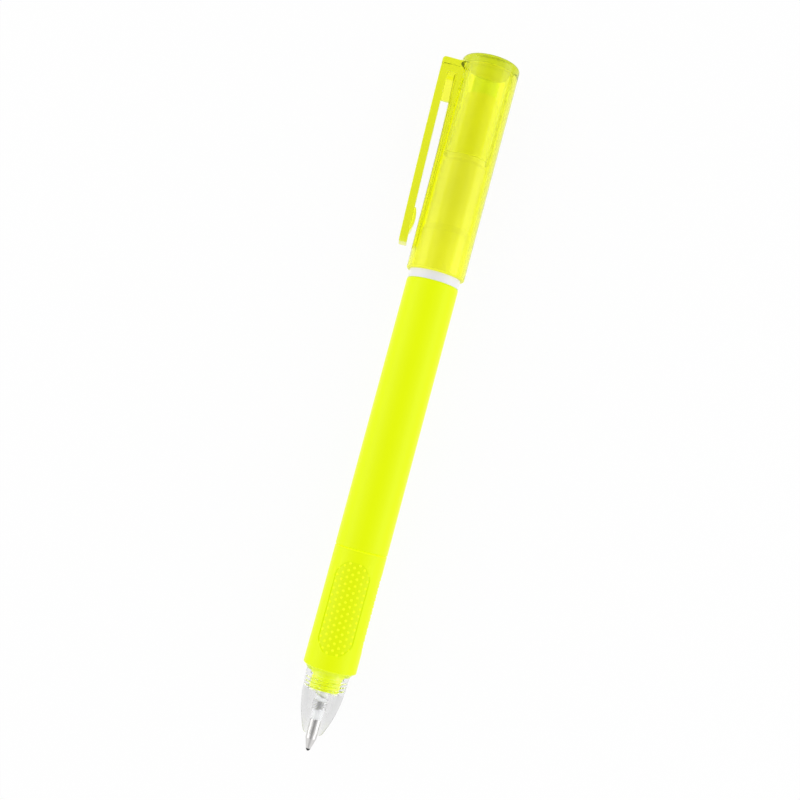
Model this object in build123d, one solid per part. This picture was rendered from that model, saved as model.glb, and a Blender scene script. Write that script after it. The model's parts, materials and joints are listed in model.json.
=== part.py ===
from build123d import *
import math
import os

# A double-ended pen: a twist ballpoint writes at the -X end, and a highlighter under a clip cap at +X.
# Frame: the pen lies along X with the cap towards +X, the clip points to +Y and +Z is up.
# The origin is on the pen's axis at the middle of the barrel. Millimetres.

# Lengths along the pen, from the writing end to the cap's end
point_reach = 3.7
cone_length = 13.35
grip_length = 24.45
barrel_length = 56.5
collar_width = 1.8
cap_length = 46.2

# Stations along X
barrel_front = -barrel_length / 2
barrel_back = barrel_length / 2
grip_front = barrel_front - grip_length
cone_mouth = grip_front - cone_length
ball_end = cone_mouth - point_reach
cap_mouth = barrel_back + collar_width
cap_end = cap_mouth + cap_length

# Clearances
press_gap = 0.02
slide_gap = 0.05
turn_gap = 0.1
seam_gap = 0.1
end_gap = 0.2

# Barrel
barrel_radius = 5.45
barrel_wall = 0.9
barrel_edge = 0.4
seam_edge = 0.12
partition_wall = 1.5
partition_room = 2.0

# Grip
grip_seam_inset = 0.02
grip_front_swell = 0.05
grip_edge = 0.15
spigot_length = 12.0
snap_from_seam = 6.5
snap_width = 0.8
snap_height = 0.25
pad_count = 3
pad_width = 7.2
pad_depth = 0.17
pad_corner = 2.4
pad_rounding = 2.0
pad_end_width = 3.6
pad_from_grip_front = 3.1
pad_from_seam = 2.45
pad_turn = -3.8

# Threaded neck under the nose cone
neck_length = 4.4
neck_radius = 2.98
neck_land_radius = 3.45
neck_land_length = 1.35
neck_bore_room = 0.23
thread_height = 0.22
thread_pitch = 0.8
thread_root_width = 0.36
thread_crest_width = 0.1
thread_sink = 0.05

# Nose cone
mouth_radius = 2.02
mouth_edge = 0.15
cone_swell_x = 4.0
cone_swell_radius = 3.46
cone_taper_length = 8.35
cone_taper_radius = 4.27
cone_shoulder_radius = 4.49
cone_shoulder_length = 0.9
cone_flange_inset = 0.37
cone_floor_gap = 0.25

# Refill
ball_radius = 0.35
ball_gap = 0.02
ball_reach = 0.31
point_rim_radius = 0.42
point_nose_length = 2.3
point_radius = 1.12
point_length = 6.8
point_tail_radius = 0.8
point_tail_length = 3.0
point_channel = 0.2
refill_bore_gap = 0.18
socket_length = 19.7
socket_flange_lip = 0.1
socket_flange_length = 1.0
socket_tail_length = 3.5
socket_channel = 0.45
tube_radius = 1.55
tube_wall = 0.4
refill_length = 66.0
ink_length = 24.0
grease_length = 2.5

# Return spring
spring_wire = 0.3
spring_inner_gap = 0.1
spring_turns = 15
spring_front_from_mouth = 4.95
spring_chamber_gap = 0.18

# Twist mechanism
stroke = 5.0
twist_angle = 180.0
follower_radius = 2.65
follower_length = 9.3
follower_pocket = 6.25
peg_radius = 0.8
peg_from_pocket = 2.0
guide_wall = 0.75
guide_front_from_seam = 7.75
guide_tail = 1.4
plug_length = 1.0
cam_from_spigot = 2.25

# Highlighter section, nib and reservoir
collar_inset = 0.07
cap_seat = 0.18
section_wall = 0.6
section_spigot = 9.8
neck_slide_length = 8.5
section_step_length = 1.5
section_floor = 2.45
waist_wall = 0.67
seal_radius = 4.05
seal_length = 6.0
seal_lead = 0.95
nose_root_radius = 3.9
holder_nose_length = 8.3
holder_radius = 3.5
section_end_from_cap_end = 7.75
nib_radius = 2.65
nib_body_length = 12.9
nib_tail_radius = 1.5
nib_dip = 4.8
nib_reach = 4.4
nib_edge_width = 0.6
nib_edge_slope = 0.18
nib_face_length = 3.2
nib_back_length = 1.2
film_wall = 0.12

# Cap and clip
cap_wall = 0.9
cap_end_wall = 1.9
cap_end_edge = 0.75
cap_mouth_edge = 0.5
inner_cap_wall = 0.7
inner_cap_end = 0.6
rib_count = 6
rib_width = 0.6
rib_length = 5.9
long_rib_length = 11.3
clip_width = 6.0
clip_thickness = 1.7
clip_top_reach = 3.95
clip_end_reach = 2.95
clip_bow = 0.12
clip_end_from_mouth = 4.75
clip_from_cap_end = 1.8
clip_corner = 0.7
clip_foot_corner = 1.2
clip_edge = 0.25
bridge_thickness = 2.9
web_thickness = 0.8
web_length = 5.55
land_from_mouth = 4.2
land_middle_from_mouth = 25.0
land_start_height = 0.05
land_middle_height = 0.25
land_web_height = 0.55
land_root_height = 0.85
boss_from_clip_end = 5.1
boss_length = 5.0
boss_width = 3.6
boss_clearance = 0.5

# Radii that follow from the sizes above
barrel_bore = barrel_radius - barrel_wall
grip_seam_radius = barrel_radius - grip_seam_inset
grip_front_radius = barrel_radius + grip_front_swell
cone_flange_radius = grip_front_radius - cone_flange_inset
spigot_radius = barrel_bore - turn_gap
refill_bore = point_radius + refill_bore_gap
spring_radius = point_radius + spring_inner_gap + spring_wire / 2
spring_chamber = spring_radius + spring_wire / 2 + spring_chamber_gap
socket_flange_radius = spring_radius + spring_wire / 2 + socket_flange_lip
neck_bore = socket_flange_radius + neck_bore_room
guide_bore = follower_radius + turn_gap
guide_radius = guide_bore + guide_wall
cam_bore = guide_radius + turn_gap
cam_radius = barrel_bore - press_gap
collar_radius = barrel_radius - collar_inset
neck_slide_radius = collar_radius - cap_seat
reservoir_bore = barrel_bore - press_gap - section_wall
film_radius = reservoir_bore - slide_gap
reservoir_radius = film_radius - film_wall - press_gap
section_waist_radius = reservoir_bore + waist_wall
inner_cap_bore = seal_radius + slide_gap
inner_cap_radius = inner_cap_bore + inner_cap_wall
cap_bore = neck_slide_radius + slide_gap
cap_radius = cap_bore + cap_wall
clip_top_height = cap_radius + clip_top_reach
clip_end_height = cap_radius + clip_end_reach

# Stations of the inner pieces
neck_front = grip_front - neck_length
thread_start = neck_front + thread_pitch / 2
thread_length = neck_length - neck_land_length - thread_pitch
spring_front = cone_mouth + spring_front_from_mouth
socket_front = ball_end + point_length
spring_back = socket_front + socket_length
tube_front = spring_back + socket_flange_length
ink_front = tube_front + socket_tail_length + press_gap
ink_back = ink_front + ink_length
refill_back = ball_end + refill_length
follower_front = refill_back - follower_pocket
peg_x = refill_back + peg_from_pocket
guide_front = barrel_front - guide_front_from_seam
guide_back = peg_x + stroke + peg_radius + slide_gap + guide_tail
partition_front = guide_back + partition_room
partition_back = partition_front + partition_wall
cam_front = barrel_front + spigot_length + cam_from_spigot
section_end = cap_end - section_end_from_cap_end
waist_start = cap_mouth + neck_slide_length + section_step_length
seal_end = section_end - holder_nose_length
seal_start = seal_end - seal_length
waist_end = seal_start - section_step_length / 2
reservoir_front = partition_back + end_gap
reservoir_back = waist_end - section_floor - end_gap
nib_end = section_end + nib_reach
nib_seat = nib_end - nib_body_length
nib_tail_end = reservoir_back - nib_dip
ceiling = cap_end - cap_end_wall
clip_top = cap_end - clip_from_cap_end
clip_end = cap_mouth + clip_end_from_mouth
clip_bridge = clip_top - bridge_thickness


def turned(*outline):
    """A solid turned about the pen's axis from the corners (x, radius) of its outline."""
    return revolve(make_face(Polyline(*outline, close=True)), Axis.X)


def rod(start, end, radius):
    return turned((start, 0), (end, 0), (end, radius), (start, radius))


def tube(start, end, radius, bore):
    return turned((start, bore), (end, bore), (end, radius), (start, radius))


def slab(start, end, low, high, width):
    """A block across the pen between two stations and two heights of Y, centred on Z = 0."""
    size = (end - start, high - low, width)
    return Pos((start + end) / 2, (low + high) / 2, 0) * Box(*size)


def around(shape, degrees):
    return shape.rotate(Axis.X, degrees)


def make_barrel():
    """The outer tube, with a wall across it that parts the twist mechanism from the ink reservoir."""
    front = barrel_front + seam_gap / 2
    body = turned(
        (front, 0),
        (front, barrel_radius - seam_edge),
        (front + seam_edge, barrel_radius),
        (barrel_back, barrel_radius),
        (barrel_back, 0),
    )
    rim = body.edges().filter_by(GeomType.CIRCLE).sort_by(Axis.X)[-1]
    body = fillet(rim, barrel_edge)
    snap_x = barrel_front + snap_from_seam
    groove_bore = barrel_bore + snap_height
    body -= rod(front, partition_front, barrel_bore)
    body -= rod(snap_x - slide_gap, snap_x + snap_width + slide_gap, groove_bore)
    body -= rod(partition_back, barrel_back, reservoir_bore)
    body -= rod(barrel_back - section_spigot - end_gap, barrel_back, barrel_bore)
    return body


def peg_hole():
    """The space round the peg at rest, from the pen's axis out to +Z."""
    return Pos(peg_x, 0, 0) * Cylinder(
        peg_radius + slide_gap, barrel_radius, align=(Align.CENTER, Align.CENTER, Align.MIN)
    )


def helical_slot():
    """The slot that the peg rides in: over the twist angle it climbs by the stroke, starting on +Z."""
    middle = (cam_bore + cam_radius) / 2
    path = Helix(pitch=stroke * 360 / twist_angle, height=stroke, radius=middle)
    across = Plane(origin=path @ 0, x_dir=(1, 0, 0), z_dir=path % 0)
    section = across * Rectangle(3 * (cam_radius - cam_bore), 2 * (peg_radius + slide_gap))
    groove = sweep(section, path=path, is_frenet=True)
    # The helix climbs along Z from +X: lay it along X and start it on +Z
    groove = Pos(peg_x, 0, 0) * around(groove.rotate(Axis.Y, 90), 180)
    return peg_hole() + groove + around(Pos(stroke, 0, 0) * peg_hole(), twist_angle)


def make_cam_sleeve():
    """The tube pressed into the barrel. Its helical slot drives the peg along as the grip is turned."""
    return tube(cam_front, partition_front - slide_gap, cam_radius, cam_bore) - helical_slot()


def make_guide_tube():
    """The tube fixed in the grip. Its straight slot, open behind, turns the peg and lets it slide."""
    guide = tube(guide_front, guide_back, guide_radius, guide_bore) - peg_hole()
    return guide - Pos(peg_x, 0, 0) * Box(
        guide_back - peg_x,
        2 * (peg_radius + slide_gap),
        barrel_radius,
        align=(Align.MIN, Align.CENTER, Align.MIN),
    )


def make_guide_plug():
    """The plug that closes the guide tube behind the follower."""
    return rod(guide_back - plug_length, guide_back, guide_bore - press_gap)


def make_follower():
    """The plunger that holds the refill's end and carries the peg."""
    body = rod(follower_front, follower_front + follower_length, follower_radius)
    body -= rod(follower_front, refill_back, tube_radius + press_gap)
    reach = cam_radius - slide_gap
    peg = Pos(peg_x, 0, 0) * Cylinder(peg_radius, reach, align=(Align.CENTER, Align.CENTER, Align.MIN))
    return body + peg


def pad_outline():
    """One grip pad seen from above: a long octagon with rounded corners, lengthwise along X."""
    start = grip_front + pad_from_grip_front
    end = barrel_front - pad_from_seam
    side = pad_width / 2
    inset = pad_end_width / 2
    octagon = make_face(
        Polyline(
            (start, inset),
            (start + pad_corner, side),
            (end - pad_corner, side),
            (end, inset),
            (end, -inset),
            (end - pad_corner, -side),
            (start + pad_corner, -side),
            (start, -inset),
            close=True,
        )
    )
    return fillet(octagon.vertices(), pad_rounding)


def thread_ridge(start, length, radius, height):
    """A helical ridge along X: it stands out from the radius, or inwards where height is negative."""
    sink = math.copysign(thread_sink, height)
    path = Helix(pitch=thread_pitch, height=length, radius=radius)
    across = Plane(origin=path @ 0, x_dir=(1, 0, 0), z_dir=path % 0)
    root = thread_root_width / 2
    crest = thread_crest_width / 2
    profile = make_face(
        Polyline((-sink, -root), (height, -crest), (height, crest), (-sink, root), close=True)
    )
    ridge = sweep(across * profile, path=path, is_frenet=True)
    return Pos(start, 0, 0) * ridge.rotate(Axis.Y, 90)


def make_grip():
    """The turning front half: a shell with three recessed pads, a threaded neck and a spigot behind."""
    back = barrel_front - seam_gap / 2
    spigot_end = barrel_front + spigot_length
    snap_x = barrel_front + snap_from_seam
    land_front = grip_front - neck_land_length
    grip = turned(
        (neck_front, 0),
        (neck_front, neck_radius),
        (land_front, neck_radius),
        (land_front, neck_land_radius),
        (grip_front, neck_land_radius),
        (grip_front, grip_front_radius - grip_edge),
        (grip_front + grip_edge, grip_front_radius),
        (back - seam_edge, grip_seam_radius),
        (back, grip_seam_radius - seam_edge),
        (back, spigot_radius),
        (snap_x, spigot_radius),
        (snap_x + snap_width / 4, spigot_radius + snap_height),
        (snap_x + snap_width * 3 / 4, spigot_radius + snap_height),
        (snap_x + snap_width, spigot_radius),
        (spigot_end, spigot_radius),
        (spigot_end, 0),
    )
    pad_floor = (grip_seam_radius + grip_front_radius) / 2 - pad_depth
    ring = tube(grip_front, barrel_front, grip_front_radius + pad_depth, pad_floor)
    pad = extrude(pad_outline(), amount=grip_front_radius + pad_depth) & ring
    for number in range(pad_count):
        grip -= around(pad, pad_turn + number * 360 / pad_count)
    grip += thread_ridge(thread_start, thread_length, neck_radius, thread_height)
    grip -= rod(neck_front, guide_front, neck_bore)
    grip -= rod(guide_front, spigot_end, guide_radius + press_gap)
    return grip


def make_nose_cone():
    """The clear cone that screws over the neck. Its stepped bore guides the point and seats the spring."""
    base = grip_front
    taper_end = cone_mouth + cone_taper_length
    shoulder = base - cone_shoulder_length
    line = Line((cone_mouth, 0), (cone_mouth, mouth_radius - mouth_edge))
    line += Line((cone_mouth, mouth_radius - mouth_edge), (cone_mouth + mouth_edge, mouth_radius))
    line += ThreePointArc(
        (cone_mouth + mouth_edge, mouth_radius),
        (cone_mouth + cone_swell_x, cone_swell_radius),
        (taper_end, cone_taper_radius),
    )
    line += Polyline(
        (taper_end, cone_taper_radius),
        (shoulder, cone_shoulder_radius),
        (base, cone_flange_radius),
        (base, 0),
        (cone_mouth, 0),
    )
    cone = revolve(make_face(line), Axis.X)
    cone -= rod(cone_mouth, base, refill_bore)
    cone -= rod(spring_front, base, spring_chamber)
    thread_bore = neck_radius + thread_height + turn_gap
    cone -= rod(neck_front - cone_floor_gap, base, thread_bore)
    cone -= rod(base - neck_land_length - cone_floor_gap, base, neck_land_radius + turn_gap)
    # Its own ridge runs half a pitch from the neck's, in the groove between the turns
    return cone + thread_ridge(thread_start - thread_pitch / 2, thread_length, thread_bore, -thread_height)


def make_writing_ball():
    return Pos(ball_end + ball_radius, 0, 0) * Sphere(ball_radius)


def make_writing_point():
    """The metal point: a cup for the ball, a tapered nose, a shank and a tail pushed into the socket."""
    rim = ball_end + ball_reach
    nose_end = rim + point_nose_length
    tail_end = socket_front + point_tail_length
    point = turned(
        (rim, 0),
        (rim, point_rim_radius),
        (nose_end, point_radius),
        (socket_front, point_radius),
        (socket_front, point_tail_radius),
        (tail_end, point_tail_radius),
        (tail_end, 0),
    )
    point -= Pos(ball_end + ball_radius, 0, 0) * Sphere(ball_radius + ball_gap)
    return point - rod(ball_end + ball_radius, tail_end, point_channel)


def make_refill_socket():
    """The pale stem between the metal point and the ink tube, with the flange that the spring pushes."""
    tail_radius = tube_radius - tube_wall - press_gap
    tail_end = tube_front + socket_tail_length
    stem = turned(
        (socket_front, 0),
        (socket_front, point_radius),
        (spring_back, point_radius),
        (spring_back, socket_flange_radius),
        (tube_front, socket_flange_radius),
        (tube_front, tail_radius),
        (tail_end, tail_radius),
        (tail_end, 0),
    )
    stem -= rod(socket_front, socket_front + point_tail_length + end_gap, point_tail_radius + press_gap)
    return stem - rod(socket_front, tail_end, socket_channel)


def make_refill_tube():
    return tube(tube_front, refill_back, tube_radius, tube_radius - tube_wall)


def make_refill_ink():
    return rod(ink_front, ink_back, tube_radius - tube_wall - press_gap)


def make_ink_grease():
    """The clear grease plug that follows the ink down the tube."""
    start = ink_back + press_gap
    return rod(start, start + grease_length, tube_radius - tube_wall - press_gap)


def make_return_spring():
    length = spring_back - spring_front - spring_wire - 2 * slide_gap
    path = Helix(pitch=length / spring_turns, height=length, radius=spring_radius)
    across = Plane(origin=path @ 0, z_dir=path % 0)
    coil = sweep(across * Circle(spring_wire / 2), path=path, is_frenet=True)
    start = spring_front + spring_wire / 2 + slide_gap
    return Pos(start, 0, 0) * coil.rotate(Axis.Y, 90)


def make_highlighter_section():
    """The white end: a spigot in the barrel, the collar, the neck for the cap and the nib holder."""
    spigot_start = barrel_back - section_spigot
    tail_room = nib_tail_radius + turn_gap
    section = turned(
        (spigot_start, 0),
        (spigot_start, barrel_bore - press_gap),
        (barrel_back, barrel_bore - press_gap),
        (barrel_back, collar_radius),
        (cap_mouth, collar_radius),
        (cap_mouth, neck_slide_radius),
        (waist_start - section_step_length, neck_slide_radius),
        (waist_start, section_waist_radius),
        (waist_end, section_waist_radius),
        (seal_start, seal_radius),
        (seal_end, seal_radius),
        (seal_end, nose_root_radius),
        (section_end, holder_radius),
        (section_end, 0),
    )
    section -= rod(spigot_start, reservoir_back + end_gap, reservoir_bore)
    section -= rod(spigot_start, section_end, tail_room)
    return section - rod(nib_seat, section_end, nib_radius + press_gap)


def make_highlighter_nib():
    """The felt nib: a round body cut to a slanted chisel edge, and a thin tail that reaches the ink."""
    nib = rod(nib_seat, nib_end, nib_radius)
    nib += rod(nib_tail_end, nib_seat, nib_tail_radius)
    side = nib_radius * 2
    drop = nib_edge_slope * side
    # The space in front of the chisel's two faces, which meet in an edge that slopes across the nib
    front_face = make_face(
        Polyline(
            (nib_end, nib_edge_width / 2),
            (nib_end - nib_face_length, side),
            (nib_end + side, side),
            (nib_end + side, nib_edge_width / 2),
            close=True,
        )
    )
    back_face = make_face(
        Polyline(
            (nib_end, -nib_edge_width / 2),
            (nib_end - nib_back_length, -side),
            (nib_end + side, -side),
            (nib_end + side, -nib_edge_width / 2),
            close=True,
        )
    )
    slant = make_face(
        Polyline(
            (nib_end, side / 2),
            (nib_end - drop, -side / 2),
            (nib_end + side, -side / 2),
            (nib_end + side, side / 2),
            close=True,
        )
    )
    for face in (front_face, back_face):
        nib -= extrude(face, amount=side, both=True).rotate(Axis.X, 90)
    return nib - extrude(slant, amount=side, both=True)


def make_ink_reservoir():
    """The fibre rod that holds the highlighter ink, with the nib's tail pushed into it."""
    fibre = rod(reservoir_front, reservoir_back, reservoir_radius)
    return fibre - rod(nib_tail_end - end_gap, reservoir_back, nib_tail_radius + press_gap)


def make_reservoir_film():
    return tube(reservoir_front, reservoir_back, film_radius, film_radius - film_wall)


def make_clip():
    """The spring arm, its bridge to the cap, the boss near its free end and the thin web in the corner."""
    inner_top = clip_top_height - clip_thickness
    inner_end = clip_end_height - clip_thickness
    middle_x = (clip_top + clip_end) / 2
    outer_middle = (clip_top_height + clip_end_height) / 2 + clip_bow
    outer = ThreePointArc(
        (clip_top, clip_top_height),
        (middle_x, outer_middle),
        (clip_end, clip_end_height),
    )
    inner = ThreePointArc(
        (clip_end, inner_end),
        (middle_x, outer_middle - clip_thickness),
        (clip_top, inner_top),
    )
    sides = Line((clip_end, clip_end_height), (clip_end, inner_end))
    top = Line((clip_top, inner_top), (clip_top, clip_top_height))
    arm = extrude(make_face(outer + sides + inner + top), amount=clip_width / 2, both=True)
    root = cap_radius - cap_wall / 2
    bridge = slab(clip_bridge, clip_top, root, clip_top_height - clip_thickness / 2, clip_width)
    clip = arm + bridge
    corner = clip.edges().filter_by(Axis.Z).group_by(Axis.X)[-1].sort_by(Axis.Y)[-1]
    clip = fillet(corner, clip_corner)
    foot = clip.edges().filter_by(Axis.Y).group_by(Axis.X)[0]
    clip = fillet(foot, clip_foot_corner)
    clip = fillet([edge for edge in clip.edges() if edge.center().Y > cap_radius], clip_edge)
    clip += slab(
        clip_bridge - web_length,
        clip_bridge + web_thickness,
        root,
        inner_top + clip_thickness / 4,
        web_thickness,
    )
    return clip + make_boss()


def make_boss():
    """The low round bump inside the clip that presses on the cloth or paper."""
    centre_x = clip_end + boss_from_clip_end
    tip = cap_radius + land_middle_height + boss_clearance
    root = clip_end_height - clip_thickness / 2
    bump = make_face(
        ThreePointArc(
            (centre_x - boss_length / 2, root - clip_thickness / 2),
            (centre_x, tip),
            (centre_x + boss_length / 2, root - clip_thickness / 2),
        )
        + Polyline(
            (centre_x + boss_length / 2, root - clip_thickness / 2),
            (centre_x + boss_length / 2, root),
            (centre_x - boss_length / 2, root),
            (centre_x - boss_length / 2, root - clip_thickness / 2),
        )
    )
    return extrude(bump, amount=boss_width / 2, both=True)


def make_clip_land():
    """The pad on the cap under the clip, which swells towards the clip's root."""
    start = cap_mouth + land_from_mouth
    land = turned(
        (start, cap_bore + cap_wall / 2),
        (start, cap_radius + land_start_height),
        (cap_mouth + land_middle_from_mouth, cap_radius + land_middle_height),
        (clip_bridge - web_length, cap_radius + land_web_height),
        (clip_bridge, cap_radius + land_root_height),
        (clip_top, cap_radius + land_root_height),
        (clip_top, cap_bore + cap_wall / 2),
    )
    return land & slab(start, clip_top, 0, 2 * cap_radius, clip_width)


def make_cap():
    """The see-through cap and its clip, moulded in one piece."""
    body = rod(cap_mouth, cap_end, cap_radius)
    rims = body.edges().filter_by(GeomType.CIRCLE).sort_by(Axis.X)
    body = fillet(rims[-1], cap_end_edge)
    rims = body.edges().filter_by(GeomType.CIRCLE).sort_by(Axis.X)
    body = fillet(rims[0], cap_mouth_edge)
    body += make_clip_land()
    body += make_clip()
    body -= rod(cap_mouth, ceiling, cap_bore)
    for number in range(rib_count):
        foot, edge = inner_cap_radius + press_gap, cap_bore + cap_wall / 2
        length = long_rib_length if number in (1, 4) else rib_length
        rib = slab(ceiling - length, ceiling, foot, edge, rib_width)
        body += around(rib, (number + 0.5) * 360 / rib_count)
    return body


def make_inner_cap():
    """The sleeve inside the cap that closes round the nib holder and keeps the nib wet."""
    start = seal_start + seal_lead
    sleeve = rod(start, ceiling, inner_cap_radius)
    return sleeve - rod(start, ceiling - inner_cap_end, inner_cap_bore)


PIECES = {
    "barrel": make_barrel,
    "cam_sleeve": make_cam_sleeve,
    "highlighter_section": make_highlighter_section,
    "highlighter_nib": make_highlighter_nib,
    "ink_reservoir": make_ink_reservoir,
    "reservoir_film": make_reservoir_film,
    "grip": make_grip,
    "guide_tube": make_guide_tube,
    "guide_plug": make_guide_plug,
    "follower": make_follower,
    "refill_tube": make_refill_tube,
    "refill_ink": make_refill_ink,
    "ink_grease": make_ink_grease,
    "refill_socket": make_refill_socket,
    "writing_point": make_writing_point,
    "writing_ball": make_writing_ball,
    "return_spring": make_return_spring,
    "nose_cone": make_nose_cone,
    "cap": make_cap,
    "inner_cap": make_inner_cap,
}

os.makedirs("parts", exist_ok=True)
for name, make in PIECES.items():
    export_step(make(), f"parts/{name}.step")
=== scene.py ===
import json
import math

import bpy
from mathutils import Matrix, Vector


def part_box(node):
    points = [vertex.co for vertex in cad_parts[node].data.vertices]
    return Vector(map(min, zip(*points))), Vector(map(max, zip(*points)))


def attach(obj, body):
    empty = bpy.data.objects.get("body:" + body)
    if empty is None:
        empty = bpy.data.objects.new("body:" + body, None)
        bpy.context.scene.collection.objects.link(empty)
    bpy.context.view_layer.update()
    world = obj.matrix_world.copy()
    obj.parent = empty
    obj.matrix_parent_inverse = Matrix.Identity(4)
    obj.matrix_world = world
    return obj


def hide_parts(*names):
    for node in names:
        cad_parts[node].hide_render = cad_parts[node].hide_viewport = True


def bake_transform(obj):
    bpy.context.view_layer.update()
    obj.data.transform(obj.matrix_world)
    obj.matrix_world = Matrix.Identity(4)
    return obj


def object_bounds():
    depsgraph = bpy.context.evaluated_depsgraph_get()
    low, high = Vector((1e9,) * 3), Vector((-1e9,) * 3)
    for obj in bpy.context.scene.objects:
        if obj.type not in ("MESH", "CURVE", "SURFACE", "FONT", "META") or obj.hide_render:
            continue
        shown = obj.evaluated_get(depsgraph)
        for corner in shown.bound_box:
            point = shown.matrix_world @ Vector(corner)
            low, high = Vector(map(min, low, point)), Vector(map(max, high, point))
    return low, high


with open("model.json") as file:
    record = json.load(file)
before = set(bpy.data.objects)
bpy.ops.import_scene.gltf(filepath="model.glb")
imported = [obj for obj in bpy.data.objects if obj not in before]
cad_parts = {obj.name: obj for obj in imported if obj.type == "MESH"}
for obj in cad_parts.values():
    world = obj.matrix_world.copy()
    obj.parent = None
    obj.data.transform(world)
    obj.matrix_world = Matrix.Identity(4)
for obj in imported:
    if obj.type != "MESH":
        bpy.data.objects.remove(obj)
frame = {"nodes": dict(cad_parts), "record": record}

cad_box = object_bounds()
nodes = frame["nodes"]
MM = 0.001


# ---------------------------------------------------------------- node trees


def scaled(colour, times):
    return tuple(c * times for c in colour)


class Value:
    """What a node gives out. Arithmetic on it adds the Math nodes that work it out."""

    def __init__(self, tree, socket):
        self.tree = tree
        self.socket = socket

    def out(self, name):
        """Another output of the same node."""
        return Value(self.tree, self.socket.node.outputs[name])

    def maths(self, operation, *values):
        return self.tree.node("ShaderNodeMath", {"operation": operation}, *values)

    def __add__(self, other):
        return self.maths("ADD", self, other)

    def __radd__(self, other):
        return self.maths("ADD", other, self)

    def __sub__(self, other):
        return self.maths("SUBTRACT", self, other)

    def __rsub__(self, other):
        return self.maths("SUBTRACT", other, self)

    def __mul__(self, other):
        return self.maths("MULTIPLY", self, other)

    def __rmul__(self, other):
        return self.maths("MULTIPLY", other, self)

    def __truediv__(self, other):
        return self.maths("DIVIDE", self, other)

    def __pow__(self, other):
        return self.maths("POWER", self, other)

    def __abs__(self):
        return self.maths("ABSOLUTE", self)

    def __lt__(self, other):
        return self.maths("LESS_THAN", self, other)

    def __gt__(self, other):
        return self.maths("GREATER_THAN", self, other)

    def sine(self):
        return self.maths("SINE", self)

    def cosine(self):
        return self.maths("COSINE", self)

    def root(self):
        return self.maths("SQRT", self)

    def within(self, low, high):
        return self.maths("MAXIMUM", self.maths("MINIMUM", self, high), low)

    def rise(self, start, width):
        """0 up to the start, and 1 a width past it."""
        return ((self - start) / width).within(0, 1)

    def fall(self, start, width):
        """1 up to the start, and 0 a width past it."""
        return 1 - self.rise(start, width)


class Tree:
    """A node tree that is written as expressions."""

    def __init__(self, nodes):
        self.nodes = nodes

    def node(self, kind, settings=None, *values, **named):
        """Adds a node: its settings, then the values or links of its sockets, in order or by name."""
        node = self.nodes.nodes.new(kind)
        for key, value in (settings or {}).items():
            if key == "stops":
                self.set_stops(node.color_ramp, value)
            else:
                setattr(node, key, value)
        shown = [socket for socket in node.inputs if socket.enabled]
        for socket, value in zip(shown, values):
            self.feed(socket, value)
        for name, value in named.items():
            wanted = name.replace("_", " ")
            self.feed(next(socket for socket in shown if socket.name == wanted), value)
        given = [socket for socket in node.outputs if socket.enabled]
        return Value(self, given[0]) if given else node

    def set_stops(self, ramp, stops):
        while len(ramp.elements) < len(stops):
            ramp.elements.new(1)
        for element, (place, colour) in zip(ramp.elements, stops):
            element.position = place
            element.color = (*colour, 1)

    def feed(self, socket, value):
        if isinstance(value, Value):
            self.nodes.links.new(value.socket, socket)
        elif socket.type == "RGBA":
            socket.default_value = (*value, 1)
        else:
            socket.default_value = value

    def mix(self, factor, first, second):
        """A colour between two colours."""
        return self.node("ShaderNodeMix", {"data_type": "RGBA"}, factor, first, second)

    def parts(self, vector):
        """The X, Y and Z of a vector."""
        split = self.node("ShaderNodeSeparateXYZ", None, vector)
        return split, split.out("Y"), split.out("Z")

    def vector(self, x, y, z):
        return self.node("ShaderNodeCombineXYZ", None, x, y, z)


class Finish(Tree):
    """A material. Its textures are laid on the piece's own coordinates, in metres."""

    def __init__(self, name):
        self.material = bpy.data.materials.new(name)
        self.material.use_nodes = True
        super().__init__(self.material.node_tree)
        self.nodes.nodes.clear()
        self.place = self.node("ShaderNodeTexCoord").out("Object")

    def along_and_radius(self):
        """The place along the pen's axis, and the distance from it."""
        along, side, top = self.parts(self.place)
        return along, (side * side + top * top).root()

    def noise(self, scale, detail, roughness=0.5, stretch=(1, 1, 1)):
        """Even noise from 0 to 1, at a scale in waves a metre. Stretch draws it out along an axis."""
        place = self.place
        if stretch != (1, 1, 1):
            place = self.node("ShaderNodeMapping", None, place, Scale=tuple(1 / s for s in stretch))
        return self.node(
            "ShaderNodeTexNoise",
            None,
            place,
            Scale=scale,
            Detail=detail,
            Roughness=roughness,
        )

    def uneven(self, factor, colour, least):
        """A colour that sinks to a share of itself where the factor is 0. Black stays plain black."""
        return self.mix(factor, scaled(colour, least), colour) if any(colour) else colour

    def bump(self, height, depth, strength):
        """Normals for a height that runs from 0 to 1, over a depth in metres."""
        return self.node("ShaderNodeBump", None, Strength=strength, Distance=depth, Height=height)

    def surface(self, **sockets):
        return self.node("ShaderNodeBsdfPrincipled", None, **sockets)

    def open_way(self, tint):
        """Light goes straight through, taking on the tint."""
        return self.node("ShaderNodeBsdfTransparent", None, tint)

    def blend(self, factor, first, second):
        """A shader between two shaders."""
        return self.node("ShaderNodeMixShader", None, factor, first, second)

    def lit_through(self, shader, tint):
        """Lets lamp light straight through a see-through piece, so that what is inside it is lit."""
        shadow_ray = self.node("ShaderNodeLightPath").out("Is Shadow Ray")
        return self.blend(shadow_ray, shader, self.open_way(tint))

    def done(self, shader, volume=None):
        output = self.node("ShaderNodeOutputMaterial", None, shader)
        if volume is not None:
            self.feed(output.inputs["Volume"], volume)
        return self.material


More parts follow.
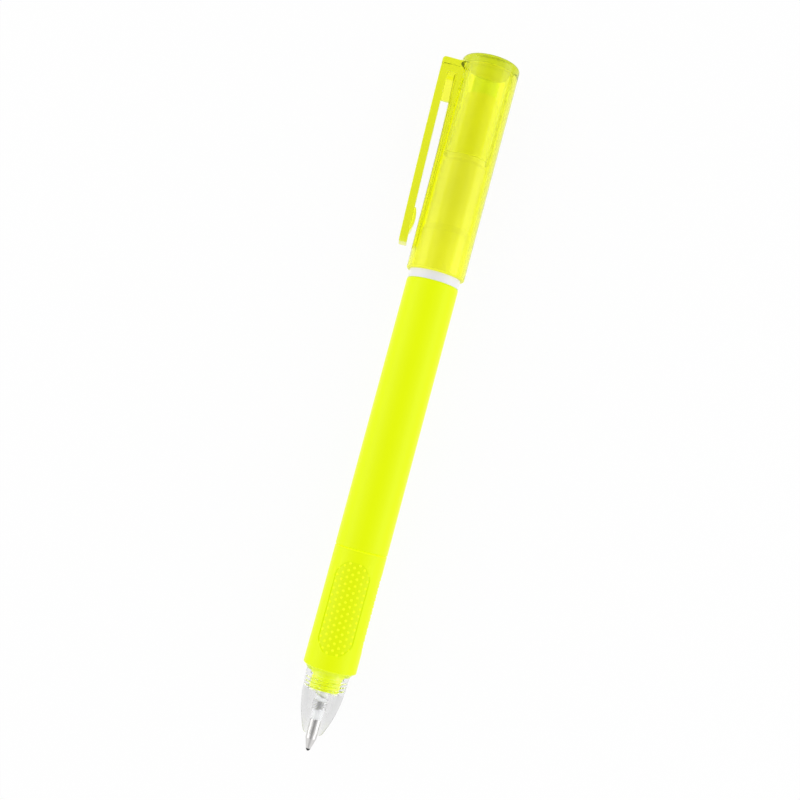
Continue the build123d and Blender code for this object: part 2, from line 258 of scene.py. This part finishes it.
class Shape(Tree):
    """A geometry tree with named sizes. It ends in realised instances and one material."""

    KINDS = {float: "NodeSocketFloat", int: "NodeSocketInt"}

    def __init__(self, name, **sizes):
        super().__init__(bpy.data.node_groups.new(name, "GeometryNodeTree"))
        self.name = name
        self.sizes = sizes
        self.keys = {key: self.add_size(key, type(size)) for key, size in sizes.items()}
        self.nodes.interface.new_socket("Geometry", in_out="OUTPUT", socket_type="NodeSocketGeometry")
        self.inlet = self.nodes.nodes.new("NodeGroupInput")

    def add_size(self, key, kind):
        title = key.replace("_", " ").capitalize()
        return self.nodes.interface.new_socket(title, socket_type=self.KINDS[kind]).identifier

    def size(self, key):
        return Value(self, next(s for s in self.inlet.outputs if s.identifier == self.keys[key]))

    def made(self, name, geometry, material):
        """The finished piece as a plain mesh."""
        geometry = self.node("GeometryNodeRealizeInstances", None, geometry)
        geometry = self.node("GeometryNodeSetMaterial", None, geometry, Material=material)
        outlet = self.nodes.nodes.new("NodeGroupOutput")
        self.nodes.links.new(geometry.socket, outlet.inputs[0])
        maker = bpy.data.objects.new(name + "_maker", bpy.data.meshes.new(name + "_maker"))
        bpy.context.scene.collection.objects.link(maker)
        modifier = maker.modifiers.new(self.name, "NODES")
        modifier.node_group = self.nodes
        for key, size in self.sizes.items():
            modifier[self.keys[key]] = size
        graph = bpy.context.evaluated_depsgraph_get()
        mesh = bpy.data.meshes.new_from_object(maker.evaluated_get(graph), depsgraph=graph)
        mesh.name = name
        # A primitive brings an empty slot of its own
        mesh.materials.clear()
        mesh.materials.append(material)
        bpy.data.objects.remove(maker)
        piece = bpy.data.objects.new(name, mesh)
        bpy.context.scene.collection.objects.link(piece)
        return piece


# ---------------------------------------------------------------- colours and stations


BLACK = (0.0, 0.0, 0.0)
WHITE = (1.0, 1.0, 1.0)
NEON = (0.52, 0.60, 0.001)
NEON_GLOW = (0.31, 0.385, 0.0)
# Painted shade: a deeper colour and a weaker glow for the pads' floor and recessed faces.
NEON_SHADED = (0.46, 0.54, 0.001)
NEON_SHADED_GLOW = (0.3, 0.37, 0.0)
# Painted light: stronger glows for the pads' edges, the seam, the dots and the neck.
NEON_EDGE_GLOW = (0.46, 0.51, 0.01)
NEON_NECK_GLOW = (0.45, 0.52, 0.0)
# Painted light: the pale, glowing face painted at the clear pieces' ends.
EDGE_LIT = (0.76, 0.78, 0.01)
EDGE_GLOW = (0.16, 0.17, 0.0)
# Painted light: the clear cap's glow.
CAP_GLOW = (0.015, 0.0155, 0.0)
DYE = (0.9, 0.925, 0.25)
WET_INK = (0.012, 0.012, 0.014)
MILKY = (0.88, 0.89, 0.90)
MILKY_SHADE = (0.84, 0.85, 0.86)

# Places along the pen, and distances from its axis
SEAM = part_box("barrel")[0].x
NECK_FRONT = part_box("grip")[0].x
BALL_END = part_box("writing_ball")[0].x
CAP_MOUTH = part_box("cap")[0].x
CAP_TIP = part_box("cap")[1].x
INNER_CAP_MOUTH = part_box("inner_cap")[0].x
CAP_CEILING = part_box("inner_cap")[1].x
CAP_BORE = 5.3 * MM
NECK_RADIUS = 5.05 * MM

# The radii of a face that reaches in to the axis and out to the wall
TO_AXIS = -1 * MM
TO_WALL = 10 * MM
CAP_ENDS = (
    (CAP_MOUTH, 0.35 * MM, TO_AXIS, TO_WALL),
    (CAP_CEILING, 0.05 * MM, TO_AXIS, CAP_BORE),
    (CAP_TIP, 0.05 * MM, 4.2 * MM, TO_WALL),
)
INNER_CAP_ENDS = ((INNER_CAP_MOUTH, 0.05 * MM, TO_AXIS, TO_WALL),)
CONE_THREAD = (NECK_FRONT - 0.22 * MM, 3.28 * MM, 0.4)


# ---------------------------------------------------------------- finishes


def neon_plastic(name, tone, glow, gloss, recess_radius):
    """Fluorescent moulded plastic: almost even, with faint flow lines and a fine mould texture.

    Its glow is painted light for the fluorescence, painted stronger on the neck, in the seam and along the
    pads' edges. Painted shade: the pads' floor is deeper in colour and glows less."""
    pad_wall = 0.1 * MM
    half_seam = 0.06 * MM
    seam_share = 0.1
    f = Finish(name)
    flow = f.noise(420, detail=3, roughness=0.6, stretch=(8, 1, 1))
    cloud = f.noise(120, detail=2)
    grain = f.noise(9000, detail=2, roughness=0.6)
    along, radius = f.along_and_radius()
    # Painted shade: inside the recess radius the colour is deeper and the glow weaker.
    deep = radius.fall(recess_radius, 0.01 * MM)
    # Painted light: a stronger glow on the pads' walls, in the seam and on the neck.
    wall = (1 - deep) * radius.fall(recess_radius + pad_wall, 0.02 * MM)
    neck = radius.fall(NECK_RADIUS, 0.1 * MM)
    seam = abs(along - SEAM).fall(half_seam, 0.02 * MM)
    even = (flow * 0.6 + cloud * 0.4).within(0, 1)
    light = f.uneven(cloud, glow, least=0.94)
    light = f.mix(deep, light, NEON_SHADED_GLOW)
    light = f.mix((wall + seam * seam_share).within(0, 1), light, NEON_EDGE_GLOW)
    return f.done(
        f.surface(
            Base_Color=f.mix(deep, f.uneven(even, tone, least=0.95), NEON_SHADED),
            Roughness=gloss + flow * 0.08 + grain * 0.05,
            IOR=1.5,
            Specular_IOR_Level=0.15,
            Normal=f.bump(grain * 0.5 + flow * 0.5, depth=0.000006, strength=0.5),
            Emission_Color=f.mix(neck, light, NEON_NECK_GLOW),
            Emission_Strength=1.0,
        )
    )


def plain_plastic(name, tone, shade, gloss, clear=0.0, glow=BLACK):
    """Moulded plastic without dye, a little milky where clear is above 0. Its glow, where one is given, is
    painted light.
    """
    f = Finish(name)
    flow = f.noise(380, detail=3, roughness=0.6, stretch=(6, 1, 1))
    grain = f.noise(8000, detail=2, roughness=0.6)
    shader = f.surface(
        Base_Color=f.mix(flow, shade, tone),
        Roughness=gloss + grain * 0.08,
        IOR=1.49,
        Transmission_Weight=clear,
        Normal=f.bump(grain * 0.6 + flow * 0.4, depth=0.000006, strength=0.5),
        Emission_Color=f.uneven(flow, glow, least=0.95),
        Emission_Strength=1.0,
    )
    return f.done(f.lit_through(shader, tone) if clear else shader)


def clear_plastic(name, tone, glow, haze, rough, coat, ior, dye, density, ends=(), thread=None):
    """See-through moulded plastic with faint ripples. Its dye deepens with the thickness looked through.

    Its glow is painted light, painted stronger inside the cap's mouth, round the highlighter's neck.
    At its ends a pale, glowing surface is painted. Each is a station along the pen, a depth, and the radii
    it lies between.
    Its thread has a start, an outer radius, and the share of its faces that touch the other thread, where
    light crosses without bending."""
    mouth_depth = 4 * MM
    mouth_fade = 11 * MM
    mouth_glow = 5
    edge = 0.05 * MM
    inner_edge = 0.5 * MM
    lit_share = 0.85
    f = Finish(name)
    ripple = f.noise(180, detail=2, roughness=0.5, stretch=(4, 1, 1))
    grain = f.noise(5000, detail=2)
    along, radius = f.along_and_radius()
    light = glow
    if any(glow):
        # Painted light: the glow is painted five times stronger inside the cap's mouth, where the neck fills
        # it.
        filled = along.fall(CAP_MOUTH + mouth_depth, mouth_fade) * (radius < CAP_BORE)
        light = f.mix(filled, f.uneven(ripple, glow, least=0.9), scaled(glow, mouth_glow))
    shader = f.surface(
        Base_Color=f.uneven(ripple, tone, least=0.985),
        Roughness=rough + grain * 0.03,
        IOR=ior,
        Specular_IOR_Level=0.1,
        Transmission_Weight=1 - haze,
        Coat_Weight=coat,
        Coat_Roughness=0.06,
        Normal=f.bump(ripple, depth=0.000015, strength=0.3),
        Emission_Color=light,
        Emission_Strength=1.0,
    )
    # Painted light: a pale, glowing surface is mixed in at each end.
    for station, depth, inner, outer in ends:
        near = abs(along - station).fall(depth, edge) * radius.fall(outer, edge)
        near = near * radius.rise(inner, inner_edge)
        lit = f.surface(
            Base_Color=f.mix(ripple, EDGE_LIT, scaled(EDGE_LIT, 0.9)),
            Roughness=0.4,
            Emission_Color=EDGE_GLOW,
            Emission_Strength=1.0,
        )
        shader = f.blend(near * lit_share, shader, lit)
    if thread:
        start, outer, share = thread
        touching = along.rise(start, 0.04 * MM) * radius.fall(outer, 0.01 * MM)
        shader = f.blend(touching * share, shader, f.open_way(WHITE))
    volume = f.node("ShaderNodeVolumeAbsorption", None, dye, density)
    return f.done(f.lit_through(shader, WHITE), volume)


def soaked_fibre(name, tone, deep):
    """Bonded fibre soaked with ink: fine strands along the pen."""
    f = Finish(name)
    strands = f.noise(5200, detail=3, roughness=0.65, stretch=(18, 1, 1))
    blots = f.noise(500, detail=2)
    return f.done(
        f.surface(
            Base_Color=f.mix((strands * 0.7 + blots * 0.3).within(0, 1), deep, tone),
            Roughness=0.62 + strands * 0.3,
            Normal=f.bump(strands, depth=0.00004, strength=0.7),
        )
    )


def bare_metal(name, tone, shade, rough, ring_depth, inked_to=None):
    """Metal turned or drawn: fine rings round the pen's axis and a little uneven shine.

    Where a station along the pen is given, ink wets the metal in front of it."""
    f = Finish(name)
    rings = f.noise(24000, detail=2, roughness=0.7, stretch=(1, 60, 60))
    cloud = f.noise(900, detail=2)
    colour = f.mix(cloud, shade, tone)
    metal = 1.0
    if inked_to is not None:
        along, _, _ = f.parts(f.place)
        ink = along.fall(inked_to, 0.06 * MM)
        colour = f.mix(ink, colour, WET_INK)
        metal = 1 - ink
    return f.done(
        f.surface(
            Base_Color=colour,
            Metallic=metal,
            Roughness=rough + rings * 0.1,
            Normal=f.bump(rings, depth=ring_depth, strength=0.5),
        )
    )


def thick_ink(name, tone, sheen, clear=0.0):
    """Ink or grease: smooth, with slow swirls."""
    f = Finish(name)
    swirl = f.noise(900, detail=3, roughness=0.6)
    return f.done(
        f.surface(
            Base_Color=f.mix(swirl, tone, sheen),
            Roughness=0.12 + swirl * 0.1,
            IOR=1.47,
            Transmission_Weight=clear,
            Normal=f.bump(swirl, depth=0.00001, strength=0.3),
        )
    )


FINISHES = {
    "neon_barrel": neon_plastic("neon_barrel", NEON, NEON_GLOW, gloss=0.3, recess_radius=4.0 * MM),
    "neon_grip": neon_plastic("neon_grip", NEON, NEON_GLOW, gloss=0.32, recess_radius=5.305 * MM),
    "white_section": plain_plastic(
        "white_section",
        tone=(0.74, 0.74, 0.755),
        shade=(0.71, 0.71, 0.725),
        gloss=0.3,
        # Painted light: a faint even glow lightens the white plastic.
        glow=(0.08, 0.08, 0.085),
    ),
    "felt_nib": soaked_fibre("felt_nib", tone=(0.80, 0.92, 0.01), deep=(0.62, 0.75, 0.01)),
    "ink_fibre": soaked_fibre("ink_fibre", tone=(0.78, 0.88, 0.02), deep=(0.60, 0.72, 0.01)),
    "clear_film": clear_plastic(
        "clear_film",
        tone=(0.97, 0.97, 0.92),
        glow=BLACK,
        haze=0.05,
        rough=0.08,
        coat=0.0,
        ior=1.4,
        dye=(0.9, 0.9, 0.8),
        density=100,
    ),
    "white_mechanism": plain_plastic(
        "white_mechanism",
        tone=(0.80, 0.80, 0.79),
        shade=(0.74, 0.74, 0.73),
        gloss=0.42,
    ),
    "frosted_tube": plain_plastic("frosted_tube", MILKY, MILKY_SHADE, gloss=0.3, clear=0.6),
    "black_ink": thick_ink("black_ink", tone=(0.006, 0.006, 0.008), sheen=(0.02, 0.02, 0.03)),
    "clear_grease": thick_ink(
        "clear_grease",
        tone=(0.85, 0.82, 0.66),
        sheen=(0.92, 0.90, 0.78),
        clear=0.7,
    ),
    "pale_socket": plain_plastic(
        "pale_socket",
        MILKY,
        MILKY_SHADE,
        gloss=0.3,
        clear=0.4,
        # Painted light: a glow lightens the socket inside the nose cone.
        glow=(0.16, 0.16, 0.16),
    ),
    "nickel_point": bare_metal(
        "nickel_point",
        tone=(0.70, 0.69, 0.68),
        shade=(0.62, 0.61, 0.60),
        rough=0.28,
        ring_depth=0.000004,
        inked_to=BALL_END + 0.5 * MM,
    ),
    "carbide_ball": thick_ink("carbide_ball", tone=(0.004, 0.004, 0.005), sheen=(0.015, 0.015, 0.018)),
    "spring_steel": bare_metal(
        "spring_steel",
        tone=(0.82, 0.82, 0.82),
        shade=(0.70, 0.70, 0.71),
        rough=0.36,
        ring_depth=0.000003,
    ),
    "clear_cone": clear_plastic(
        "clear_cone",
        tone=WHITE,
        glow=BLACK,
        haze=0.0,
        rough=0.02,
        coat=0.0,
        ior=1.36,
        dye=(0.62, 0.62, 0.62),
        density=110,
        thread=CONE_THREAD,
    ),
    "tinted_cap": clear_plastic(
        "tinted_cap",
        tone=(0.98, 0.985, 0.1),
        glow=CAP_GLOW,
        haze=0.03,
        rough=0.07,
        coat=0.15,
        ior=1.32,
        dye=DYE,
        density=400,
        ends=CAP_ENDS,
    ),
    "tinted_inner_cap": clear_plastic(
        "tinted_inner_cap",
        tone=(0.98, 0.985, 0.12),
        glow=CAP_GLOW,
        haze=0.04,
        rough=0.1,
        coat=0.0,
        ior=1.2,
        dye=DYE,
        density=400,
        ends=INNER_CAP_ENDS,
    ),
}
for part in frame["record"]["subparts"]:
    materials = nodes[part["node"]].data.materials
    materials.clear()
    materials.append(FINISHES[part["material_slot"]])


# ---------------------------------------------------------------- grip dots


def make_grip_dots():
    """Low round dots on the floor of each grip pad, in a staggered grid cut off at the pad's corners."""
    start = NECK_FRONT + 7.5 * MM
    end = SEAM - 2.5 * MM
    t = Shape(
        "dotted_pads",
        pads=3,
        pad_turn=math.radians(-3.8),
        pad_middle=(start + end) / 2,
        half_length=(end - start) / 2,
        half_width=3.6 * MM,
        half_end_width=1.8 * MM,
        corner=2.4 * MM,
        rows=27,
        columns=7,
        row_step=0.7 * MM,
        column_step=1.02 * MM,
        floor_radius=5.295 * MM,
        dot_radius=0.29 * MM,
        dot_height=0.15 * MM,
        dot_segments=10,
        dot_rings=5,
    )
    grid = t.node(
        "GeometryNodeMeshGrid",
        None,
        Size_X=(t.size("rows") - 1) * t.size("row_step"),
        Size_Y=(t.size("columns") - 1) * t.size("column_step"),
        Vertices_X=t.size("rows"),
        Vertices_Y=t.size("columns"),
    )
    along, across, _ = t.parts(t.node("GeometryNodeInputPosition"))
    # Every other point of the grid, and none past the pad's slanted corners
    step = along / t.size("row_step") + across / t.size("column_step")
    skipped = step.maths("FLOORED_MODULO", step + 0.5, 2) > 1
    slant = (t.size("half_length") - abs(along)) / t.size("corner")
    limit = t.size("half_end_width") + slant * (t.size("half_width") - t.size("half_end_width"))
    outside = abs(across) > limit
    points = t.node("GeometryNodeDeleteGeometry", {"domain": "POINT"}, grid, skipped + outside)
    height = (t.size("floor_radius") ** 2 - across ** 2).root()
    spot = t.vector(t.size("pad_middle") + along, across, height)
    points = t.node("GeometryNodeSetPosition", None, points, Position=spot)
    _, side, top = t.parts(t.node("GeometryNodeInputPosition"))
    away = t.vector(0.0, side, top)
    outward = t.node("FunctionNodeAlignRotationToVector", {"axis": "Z"}, Vector=away)
    dot = t.node("GeometryNodeMeshUVSphere", None, t.size("dot_segments"), t.size("dot_rings"), 1.0)
    size = t.vector(t.size("dot_radius"), t.size("dot_radius"), t.size("dot_height"))
    pad = t.node(
        "GeometryNodeInstanceOnPoints",
        None,
        points,
        Instance=dot,
        Rotation=outward,
        Scale=size,
    )
    turn = t.size("pad_turn") + t.node("GeometryNodeInputIndex") * (2 * math.pi) / t.size("pads")
    middles = t.node("GeometryNodeMeshLine", None, t.size("pads"), Offset=(0, 0, 0))
    turned = t.node("FunctionNodeEulerToRotation", None, t.vector(turn, 0.0, 0.0))
    pads = t.node("GeometryNodeInstanceOnPoints", None, middles, Instance=pad, Rotation=turned)
    pads = t.node("GeometryNodeRealizeInstances", None, pads)
    pads = t.node("GeometryNodeSetShadeSmooth", None, pads)
    # Painted light: the dots glow with the brighter edge glow, so they stand out lighter on the pads.
    finish = neon_plastic("neon_dots", NEON, NEON_EDGE_GLOW, gloss=0.25, recess_radius=0.0)
    dots = t.made("grip_dots", pads, finish)
    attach(dots, "grip")


# ---------------------------------------------------------------- return spring


SPRING_FRONT, SPRING_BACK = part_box("return_spring")
SPRING_TURNS = 15.5
WIRE = 0.3 * MM


def make_spring(name, first_turn, last_turn):
    """A length of the return spring: closed coils at both of its ends and open coils between."""
    front_closed = 5.5
    back_closed = 2.0
    open_turns = SPRING_TURNS - front_closed - back_closed
    closed_pitch = 1.04 * WIRE
    length = SPRING_BACK.x - SPRING_FRONT.x - WIRE
    points_a_turn = 40
    t = Shape(
        name + "_coils",
        first_turn=first_turn,
        last_turn=last_turn,
        front=SPRING_FRONT.x + WIRE / 2,
        radius=1.37 * MM,
        wire_radius=WIRE / 2,
        closed_turns=front_closed,
        open_turns=open_turns,
        closed_pitch=closed_pitch,
        open_pitch=(length - (front_closed + back_closed) * closed_pitch) / open_turns,
        points=int((last_turn - first_turn) * points_a_turn) + 1,
        wire_sides=12,
    )
    line = t.node("GeometryNodeCurvePrimitiveLine")
    line = t.node("GeometryNodeResampleCurve", None, line, Count=t.size("points"))
    turns = t.size("last_turn") - t.size("first_turn")
    turn = t.size("first_turn") + t.node("GeometryNodeSplineParameter") * turns
    past_closed = (turn - t.size("closed_turns")).within(0.0, t.size("open_turns"))
    along = t.size("front") + past_closed * t.size("open_pitch")
    along = along + (turn - past_closed) * t.size("closed_pitch")
    angle = turn * (2 * math.pi)
    spot = t.vector(along, angle.sine() * t.size("radius"), angle.cosine() * t.size("radius"))
    line = t.node("GeometryNodeSetPosition", None, line, Position=spot)
    ring = t.node(
        "GeometryNodeCurvePrimitiveCircle",
        None,
        Resolution=t.size("wire_sides"),
        Radius=t.size("wire_radius"),
    )
    coil = t.node("GeometryNodeCurveToMesh", None, line, Profile_Curve=ring, Fill_Caps=True)
    coil = t.node("GeometryNodeSetShadeSmooth", None, coil)
    spring = t.made(name, coil, FINISHES["spring_steel"])
    return spring


def make_return_spring():
    """Two lengths of one spring, the front one and the back one, which stand in for the spring from the part
    file.
    """
    middle = 9.5
    fore = make_spring("return_spring_front", 0.0, middle)
    rear = make_spring("return_spring_back", middle, SPRING_TURNS)
    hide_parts("return_spring")
    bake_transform(fore)
    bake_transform(rear)


make_grip_dots()
make_return_spring()


# ---------------------------------------------------------------- stage


def make_floor():
    """White paper. It shows white to the camera and in reflections, and still takes a faint shadow."""
    half_side = 1.5
    low = cad_box[0].z - 0.05 * MM
    white_share = 0.94
    f = Finish("white_floor")
    paper = f.noise(60, detail=3)
    lit = f.surface(
        Base_Color=f.mix(paper, (0.93, 0.93, 0.93), (0.95, 0.95, 0.95)),
        Roughness=0.9,
        Specular_IOR_Level=0.0,
    )
    glow = f.node("ShaderNodeEmission", None, WHITE, 1.0)
    rays = f.node("ShaderNodeLightPath")
    seen = rays.out("Is Camera Ray") + rays.out("Is Glossy Ray") + rays.out("Is Transmission Ray")
    f.done(f.blend(seen.within(0, 1) * white_share, lit, glow))
    corners = [(-1, -1), (1, -1), (1, 1), (-1, 1)]
    places = [(x * half_side, y * half_side, low) for x, y in corners]
    mesh = bpy.data.meshes.new("floor")
    mesh.from_pydata(places, [], [(0, 1, 2, 3)])
    mesh.materials.append(f.material)
    floor = bpy.data.objects.new("floor", mesh)
    bpy.context.scene.collection.objects.link(floor)


def make_sky():
    """An even white room, darker straight overhead, and white wherever the camera sees it."""
    world = bpy.data.worlds.new("studio")
    bpy.context.scene.world = world
    world.use_nodes = True
    t = Tree(world.node_tree)
    t.nodes.nodes.clear()
    along, side, up = t.parts(t.node("ShaderNodeTexCoord").out("Generated"))
    # The dark of the camera overhead, drawn out along the pen
    off = ((along * 0.5) ** 2 + side ** 2).root() + (up < 0)
    stops = [
        (0.0, (0.25, 0.25, 0.26)),
        (0.28, (0.45, 0.45, 0.46)),
        (0.5, (0.95, 0.95, 0.95)),
        (0.7, (1.05, 1.05, 1.05)),
    ]
    grey = t.node("ShaderNodeValToRGB", {"stops": stops}, off)
    camera_ray = t.node("ShaderNodeLightPath").out("Is Camera Ray")
    background = t.node("ShaderNodeBackground", None, t.mix(camera_ray, grey, WHITE), 1.0)
    t.node("ShaderNodeOutputWorld", None, background)


def make_softbox(name, place, level):
    """A rectangular lamp aimed at the pen, whose face shines with the given level, where 1 is white."""
    width = 0.5
    height = 0.28
    light = bpy.data.lights.new(name, "AREA")
    light.shape = "RECTANGLE"
    light.size = width
    light.size_y = height
    light.energy = level * math.pi * width * height
    lamp = bpy.data.objects.new(name, light)
    bpy.context.scene.collection.objects.link(lamp)
    lamp.location = place
    lamp.rotation_euler = Vector(place).to_track_quat("Z", "Y").to_euler()


def make_camera():
    """Looks almost straight down on the pen, which points up and to the right in the picture."""
    eye = Vector((-13.53, 0.31, 248.6)) * MM
    aim = Vector((3.3, 0.31, 0)) * MM
    roll = math.radians(15.0)
    sensor = 36
    zoom = 1.51875
    back = (eye - aim).normalized()
    up = Vector((math.cos(roll), math.sin(roll), 0))
    right = up.cross(back).normalized()
    up = back.cross(right)
    camera = bpy.data.objects.new("camera", bpy.data.cameras.new("camera"))
    camera.data.sensor_width = sensor
    camera.data.lens = sensor * zoom
    camera.data.clip_start = 0.01
    camera.data.clip_end = 10
    camera.matrix_world = Matrix((right, up, back)).transposed().to_4x4()
    camera.location = eye
    bpy.context.scene.collection.objects.link(camera)
    bpy.context.scene.camera = camera


make_floor()
make_sky()
make_softbox("right_softbox", (0.0, -0.42, 0.16), level=1.3)
make_softbox("left_softbox", (0.0, 0.42, 0.16), level=1.1)
make_camera()
bpy.context.scene.view_settings.view_transform = "Standard"
